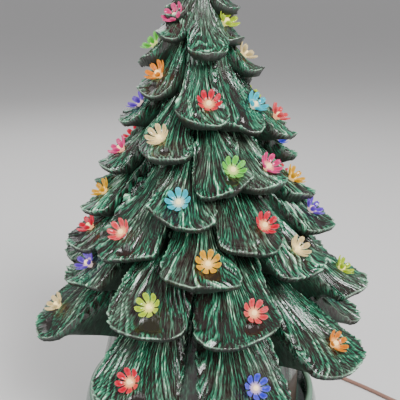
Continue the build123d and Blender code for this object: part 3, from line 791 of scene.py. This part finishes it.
def makeTreeGlaze(look):
    material, tree, shader = newMaterial("treeGlaze")
    stretch = addNode(tree, "ShaderNodeVectorMath", operation="MULTIPLY")
    stretch.inputs[1].default_value = look["combStretch"]
    wire(tree, attribute(tree, "comb"), stretch.inputs[0])
    streak = noiseNode(tree, stretch.outputs[0], 1.0, 3)
    ridge, rim, darkening = splitVector(tree, attribute(tree, "relief"))
    point = objectPoint(tree)
    grain = placeGroup(tree, grainGroup, Vector=point,
                       **{"Cloud Scale": look["cloudScale"], "Grain Scale": look["grainScale"]})
    glaze = placeGroup(tree, glazeGroup, Relief=ridge, Rim=rim, Pool=darkening, Streak=streak,
                       Cloud=grain["Cloud"])
    # bare biscuit at the foot; on the undersides dull glaze and painted shade, darker where the surface faces
    # down
    foot = spread(tree, splitVector(tree, point)[2], *look["footBand"])
    biscuit = mixColours(tree, grain["Cloud"], *look["biscuit"])
    facing = splitVector(tree, addNode(tree, "ShaderNodeNewGeometry").outputs["Normal"])[2]
    under = spread(tree, facing, *look["underBand"])
    dull = mathNode(tree, "MAXIMUM", under, foot)
    shade = mathNode(tree, "MULTIPLY", under, look["underMost"])
    shaded = mixColours(tree, shade, glaze["Color"], look["underShade"])
    wire(tree, mixColours(tree, foot, shaded, biscuit), shader.inputs["Base Color"])
    dullRoughness = mathNode(tree, "MULTIPLY", dull, look["dullRoughness"])
    wire(tree, mathNode(tree, "MAXIMUM", glaze["Roughness"], dullRoughness), shader.inputs["Roughness"])
    bare = mathNode(tree, "MAXIMUM", dull, darkening)
    wire(tree, spread(tree, bare, 0.0, 1.0, *look["coat"]), shader.inputs["Coat Weight"])
    height = mathNode(tree, "ADD", streak, mathNode(tree, "MULTIPLY", grain["Grain"], look["grainShare"]))
    wire(tree, bumpNode(tree, height, look["bump"], look["bumpDepth"]), shader.inputs["Normal"])
    shader.inputs["Coat Roughness"].default_value = look["coatRoughness"]
    shader.inputs["Specular IOR Level"].default_value = look["specular"]
    return material


treeGlaze = makeTreeGlaze(treeGlazeLook)
tiers = {
    "branchesCrown": ("branches_crown", 0, 14),
    "branchesUpper": ("branches_upper", 14, 25),
    "branchesMiddle": ("branches_middle", 25, 32),
    "branchesWaist": ("branches_middle", 32, 40),
    "branchesLower": ("branches_lower", 40, 50),
    "branchesSkirt": ("branches_skirt", 50, 58),
    "branchesHem": ("branches_skirt", 58, 66),
}


def newBranchMesh():
    bm = bmesh.new()
    return bm, {name: bm.verts.layers.float_vector.new(name) for name in ("sheet", "comb", "relief")}


for tier, (node, first, last) in tiers.items():
    bm, layers = newBranchMesh()
    for number in range(first, last):
        combBranch(bm, layers, branchRows[number], number)
    piece = finishPiece(bm, tier, treeGlaze, "tree", "tree_glaze", node)
    print(tier, "combed:", len(piece.data.polygons), "faces")


# hollow core of the tree, down to its foot in the base
coreLook = {
    "steps": 144, "rows": 40, "strands": 36, "strandDepth": 0.0010, "sway": 3, "swayPitch": 40,
    "footChamfer": 0.001, "footHeights": (0.0015, 0.012, 0.026), "mouthHeight": 0.001,
    "crownSteps": 5, "crownFrom": 0.3, "leastInner": 0.0004, "leastStrandRadius": 0.004,
    "combRadius": 0.05, "combNumber": 70, "relief": 0.55, "reliefSway": 0.35, "plainRelief": 0.16,
}


def spinProfile(bm, profile, steps):
    verts = [bm.verts.new((r, 0, z)) for r, z in profile]
    edges = [bm.edges.new(pair) for pair in zip(verts, verts[1:])]
    if profile[0][0] > 0:
        edges.append(bm.edges.new((verts[-1], verts[0])))
    bmesh.ops.spin(bm, geom=verts + edges, cent=(0, 0, 0), axis=(0, 0, 1), angle=2 * math.pi, steps=steps,
                   use_merge=True)
    bmesh.ops.remove_doubles(bm, verts=bm.verts[:], dist=1e-6)


def makeCore(look):
    shape = treeLook
    bm, layers = newBranchMesh()
    wall = shape["wall"]
    foot = shape["footRadius"]
    low = shape["deckTop"]
    crownR = shape["crownRadius"]
    shoulder = shape["shoulder"]
    heights = np.linspace(shape["neck"], shoulder, look["rows"])
    profile = [(max(coreRadius(z) - wall, look["leastInner"]), z) for z in reversed(heights)]
    profile.insert(0, (0, shoulder))
    profile.append((foot - wall, low + look["mouthHeight"]))
    profile.append((foot - wall + look["footChamfer"], low))
    profile.append((foot - look["footChamfer"], low))
    profile += [(foot, low + z) for z in look["footHeights"]]
    profile += [(coreRadius(z), z) for z in heights[:-1]]
    profile.append((crownR, shoulder))
    for angle in np.linspace(look["crownFrom"], math.pi / 2, look["crownSteps"])[:-1]:
        profile.append((crownR * math.cos(angle), shoulder + crownR * math.sin(angle)))
    profile.append((0, shoulder + crownR))
    spinProfile(bm, profile, look["steps"])
    for vert in bm.verts:
        r = math.hypot(vert.co.x, vert.co.y)
        angle = math.atan2(vert.co.y, vert.co.x)
        outside = r > coreRadius(vert.co.z) - wall / 2 and vert.co.z > shape["neck"]
        sway = look["sway"] * math.sin(vert.co.z * look["swayPitch"])
        wave = 0.5 + 0.5 * math.sin(angle * look["strands"] + sway)
        if outside and r > look["leastStrandRadius"]:
            grow = 1 - look["strandDepth"] * wave / r
            vert.co.x *= grow
            vert.co.y *= grow
        ridge = look["relief"] - look["reliefSway"] * wave if outside else look["plainRelief"]
        vert[layers["comb"]] = (vert.co.z, angle * look["combRadius"], look["combNumber"])
        vert[layers["relief"]] = (ridge, 0, 0)
    return finishPiece(bm, "treeCore", treeGlaze, "tree", "tree_glaze", "tree_core")


makeCore(coreLook)
print("core turned")


# flower lights: eight cupped petals round a bright bead
flowerLook = {
    "petals": 8, "heart": 0.0032, "radius": 0.0100, "height": 0.0080,
    "collar": 0.0024, "collarRadius": 0.0034, "collarFoot": 0.0002, "collarGap": 0.0004,
    "ring": 0.0036, "ringLow": 0.0008, "ringHigh": 0.0002,
    "pegRadius": 0.0022, "pegLength": 0.0085, "pegTop": 0.0010, "pegSides": 10,
    "bead": 0.0021, "beadRise": 0.0012,
    "petalHalfWidth": 0.0023, "petalRoot": 0.42, "petalFullAt": 0.68, "petalTaperFrom": 0.66,
    "petalTaperOver": 0.36, "petalTip": 0.08, "petalReachPower": 0.72, "petalCupPower": 1.45,
    "petalCurl": 0.0007, "petalWall": 0.0009, "petalRootWall": 1.1, "petalWallTaper": 0.5, "petalHeel": 0.35,
    "ringGlow": 0.45, "collarGlow": 0.1, "petalGlow": 0.70, "heartGlow": 2.2,
    "heartColour": (1.0, 0.74, 0.30),
    "deepShare": 0.10, "purity": 1.5, "dimShare": 0.30, "edgeWhite": 0.06, "edgeBand": (0.30, 1.0),
    "edgeMost": 0.85, "cloudScale": 450, "bodyBand": (0.1, 0.6), "hotBand": (0.22, 0.0), "hotMost": 0.35,
    "roughness": (0.08, 0.2), "specular": 0.35,
}
lightColours = {
    "amber": (1.00, 0.56, 0.004),
    "aqua": (0.03, 0.72, 0.86),
    "blue": (0.10, 0.12, 0.90),
    "coral": (1.00, 0.13, 0.15),
    "cream": (1.00, 0.80, 0.42),
    "crimson": (0.90, 0.015, 0.080),
    "green": (0.24, 0.80, 0.12),
    "lime": (0.62, 0.82, 0.03),
    "orange": (1.00, 0.36, 0.004),
    "pink": (0.95, 0.08, 0.33),
    "purple": (0.24, 0.10, 0.75),
}


def addPetal(bm, layer, look, turn):
    made = bmesh.ops.create_grid(bm, x_segments=6, y_segments=4, size=0.5)["verts"]
    faces = list({f for v in made for f in v.link_faces})
    thick = bmesh.ops.extrude_face_region(bm, geom=faces)["geom"]
    under = [g for g in thick if isinstance(g, bmesh.types.BMVert)]
    for verts, onTop in ((made, True), (under, False)):
        for vert in verts:
            s = vert.co.x + 0.5
            y = 2 * vert.co.y
            swell = math.sin(min(s / look["petalFullAt"], 1) * math.pi / 2)
            width = look["petalHalfWidth"] * (look["petalRoot"] + (1 - look["petalRoot"]) * swell)
            taper = max((s - look["petalTaperFrom"]) / look["petalTaperOver"], 0)
            width *= math.sqrt(max(1 - taper ** 2, look["petalTip"]))
            r = look["heart"] + (look["radius"] - look["heart"]) * s ** look["petalReachPower"]
            z = look["collar"] + (look["height"] - look["collar"]) * s ** look["petalCupPower"]
            z += look["petalCurl"] * y * y
            if not onTop:
                z -= look["petalWall"] * (look["petalRootWall"] - look["petalWallTaper"] * s)
                r += look["petalWall"] * look["petalHeel"] * (1 - s)
            vert.co = turn @ Vector((r, y * width, z))
            vert[layer] = (s, max(abs(y), s ** 3), 0)
    return made + under


def addRound(bm, layer, radius, low, high, glow, segments=12):
    made = bmesh.ops.create_cone(bm, cap_ends=True, segments=segments, radius1=radius, radius2=radius,
                                 depth=high - low, matrix=Matrix.Translation((0, 0, (low + high) / 2)))
    for vert in made["verts"]:
        vert[layer] = (0, 0, glow)
    return made["verts"]


def addFlower(bm, layer, look, matrix, spinTurn):
    collar = look["collar"]
    verts = []
    for i in range(look["petals"]):
        turn = Matrix.Rotation(spinTurn + 2 * math.pi * i / look["petals"], 3, "Z")
        verts += addPetal(bm, layer, look, turn)
    verts += addRound(bm, layer, look["ring"], collar - look["ringLow"], collar + look["ringHigh"],
                      look["ringGlow"])
    verts += addRound(bm, layer, look["collarRadius"], look["collarFoot"], collar - look["collarGap"],
                      look["collarGlow"])
    verts += addRound(bm, layer, look["pegRadius"], -look["pegLength"], look["pegTop"], 0.0, look["pegSides"])
    centre = Matrix.Translation((0, 0, collar + look["beadRise"]))
    bead = bmesh.ops.create_uvsphere(bm, u_segments=10, v_segments=6, radius=look["bead"], matrix=centre)
    for vert in bead["verts"]:
        vert[layer] = (0, 0, 1)
    bmesh.ops.transform(bm, matrix=matrix, verts=verts + bead["verts"])


# clear plastic lit from the peg: bright edges, a hot heart
def makeFlowerPlastic(name, colour, look):
    material, tree, shader = newMaterial(name)
    along, edge, heart = splitVector(tree, attribute(tree, "petal"))
    cloud = noiseNode(tree, objectPoint(tree), look["cloudScale"], 2)
    share = look["petalGlow"] / look["heartGlow"]
    full = tuple(c ** look["purity"] for c in colour)
    deep = tuple(look["deepShare"] * c for c in colour)
    dim = tuple(look["dimShare"] * c for c in full)
    glow = tuple(share * c for c in full)
    faint = tuple(share * c for c in dim)
    pale = tuple(share * (look["edgeWhite"] + c) for c in colour)
    mottled = mixColours(tree, cloud, faint, glow)
    body = mixColours(tree, spread(tree, along, *look["bodyBand"]), glow, mottled)
    edgeShare = spread(tree, edge, *look["edgeBand"], 0.0, look["edgeMost"])
    lit = mixColours(tree, edgeShare, body, pale)
    hot = mathNode(tree, "MAXIMUM", heart, spread(tree, along, *look["hotBand"], 0.0, look["hotMost"]))
    wire(tree, mixColours(tree, cloud, deep, dim), shader.inputs["Base Color"])
    wire(tree, mixColours(tree, hot, lit, look["heartColour"]), shader.inputs["Emission Color"])
    wire(tree, spread(tree, cloud, 0.3, 0.7, *look["roughness"]), shader.inputs["Roughness"])
    shader.inputs["Emission Strength"].default_value = look["heartGlow"]
    shader.inputs["Specular IOR Level"].default_value = look["specular"]
    return material


flowerSpins = np.random.default_rng(7).uniform(0, math.pi / 4, len(branchRows))
for colourName, colour in lightColours.items():
    bm = bmesh.new()
    layer = bm.verts.layers.float_vector.new("petal")
    for row, spinTurn in zip(branchRows, flowerSpins):
        if row[4] == colourName:
            addFlower(bm, layer, flowerLook, lightMatrix(row[0] + row[1], row[2], row[3]), spinTurn)
    plastic = makeFlowerPlastic(colourName + "Plastic", colour, flowerLook)
    finishPiece(bm, "flowers" + colourName.capitalize(), plastic, "tree", "light_" + colourName,
                "lights_" + colourName)
print("flower lights set")


# finishes of the pieces that keep their own solids
baseGlazeLook = {
    "rimBand": (0.0630, 0.0648), "rimMost": 0.45, "footBand": (0.008, 0.001), "footPool": 0.6,
    "cloudScale": 16, "grainScale": 420, "cloudRange": (0.30, 0.52),
    "runStretch": (90, 90, 14), "runRange": (0.44, 0.56), "levelBand": (0.0, 0.06), "level": (0.34, 0.46),
    "bump": 0.2, "bumpDepth": 0.002, "coat": 0.5, "coatRoughness": 0.06,
}


def makeBaseGlaze(look):
    material, tree, shader = newMaterial("baseGlaze")
    point = objectPoint(tree)
    height = splitVector(tree, point)[2]
    # pale line at the top rim, darker towards the foot and paler towards the top
    rim = mathNode(tree, "MULTIPLY", spread(tree, height, *look["rimBand"]), look["rimMost"])
    darkening = mathNode(tree, "MULTIPLY", spread(tree, height, *look["footBand"]), look["footPool"])
    grain = placeGroup(tree, grainGroup, Vector=point,
                       **{"Cloud Scale": look["cloudScale"], "Grain Scale": look["grainScale"]})
    stretch = addNode(tree, "ShaderNodeVectorMath", operation="MULTIPLY")
    stretch.inputs[1].default_value = look["runStretch"]
    wire(tree, point, stretch.inputs[0])
    runs = spread(tree, noiseNode(tree, stretch.outputs[0], 1.0, 3), 0.0, 1.0, *look["runRange"])
    level = spread(tree, height, *look["levelBand"], *look["level"])
    cloud = spread(tree, grain["Cloud"], 0.0, 1.0, *look["cloudRange"])
    glaze = placeGroup(tree, glazeGroup, Relief=level, Rim=rim, Pool=darkening, Streak=runs, Cloud=cloud)
    wire(tree, glaze["Color"], shader.inputs["Base Color"])
    wire(tree, glaze["Roughness"], shader.inputs["Roughness"])
    wire(tree, bumpNode(tree, grain["Cloud"], look["bump"], look["bumpDepth"]), shader.inputs["Normal"])
    shader.inputs["Coat Weight"].default_value = look["coat"]
    shader.inputs["Coat Roughness"].default_value = look["coatRoughness"]
    return material


brass = makeStock("rolledBrass", (0.62, 0.43, 0.17), 0.28, 1.0, 120, 1400, 0.3)
steel = makeStock("springSteel", (0.58, 0.58, 0.60), 0.25, 1.0, 150, 1600, 0.2)
baseGlaze = makeBaseGlaze(baseGlazeLook)
fittingFinishes = {
    "base": baseGlaze,
    "base_deck": baseGlaze,
    "socket_body": makeStock("ivoryPhenolic", (0.70, 0.66, 0.54), 0.45, 0.0, 70, 1100),
    "socket_liner": brass,
    "socket_contact": brass,
    "socket_clips": steel,
    "bulb_cap": brass,
    "bulb_contact": makeStock("dullSolder", (0.42, 0.42, 0.43), 0.5, 1.0, 300, 2000),
    "bulb_glass": makeBulbGlass(),
    "bulb_stem": makeBulbGlass(),
    "bulb_wires": steel,
    "bulb_filament": makeFilament(),
    "cord_lead": vinyl,
    "coil_tie": makeStock("blackStrap", (0.02, 0.02, 0.022), 0.55, 0.0, 200, 1500),
    "plug_body": vinyl,
    "plug_blades": brass,
}
for nodeName, finish in fittingFinishes.items():
    slots = nodes[nodeName].data.materials
    slots.clear()
    slots.append(finish)
print("fittings finished")


# pale floor and soft studio light
stageLook = {
    "floorSize": 240, "floorColour": (0.62, 0.61, 0.60),
    "worldColour": (0.80, 0.80, 0.82), "worldStrength": 0.58,
    "lights": [
        ("keyLight", (0.9, -1.3, 1.5), 0.8, 88),
        ("fillLight", (-1.3, -0.9, 0.9), 1.2, 24),
        ("backLight", (-0.5, 1.2, 1.3), 1.2, 12),
    ],
    "aim": (0, 0, 0.22),
}


def makeStage(look):
    bm = bmesh.new()
    bmesh.ops.create_grid(bm, x_segments=2, y_segments=2, size=look["floorSize"] / 2)
    mesh = bpy.data.meshes.new("paleFloor")
    bm.to_mesh(mesh)
    bm.free()
    floor = bpy.data.objects.new("paleFloor", mesh)
    bpy.context.scene.collection.objects.link(floor)
    material, tree, shader = newMaterial("paleFloor")
    cloud = noiseNode(tree, objectPoint(tree), 3)
    dim = tuple(0.97 * c for c in look["floorColour"])
    wire(tree, mixColours(tree, cloud, dim, look["floorColour"]), shader.inputs["Base Color"])
    shader.inputs["Roughness"].default_value = 0.6
    mesh.materials.append(material)
    world = bpy.data.worlds.new("studio")
    world.use_nodes = True
    background = world.node_tree.nodes["Background"]
    background.inputs["Color"].default_value = (*look["worldColour"], 1)
    background.inputs["Strength"].default_value = look["worldStrength"]
    bpy.context.scene.world = world
    for name, place, size, power in look["lights"]:
        data = bpy.data.lights.new(name, "AREA")
        data.size = size
        data.energy = power
        light = bpy.data.objects.new(name, data)
        light.location = place
        light.rotation_euler = (Vector(look["aim"]) - Vector(place)).to_track_quat("-Z", "Y").to_euler()
        bpy.context.scene.collection.objects.link(light)


makeStage(stageLook)
print("stage lit")
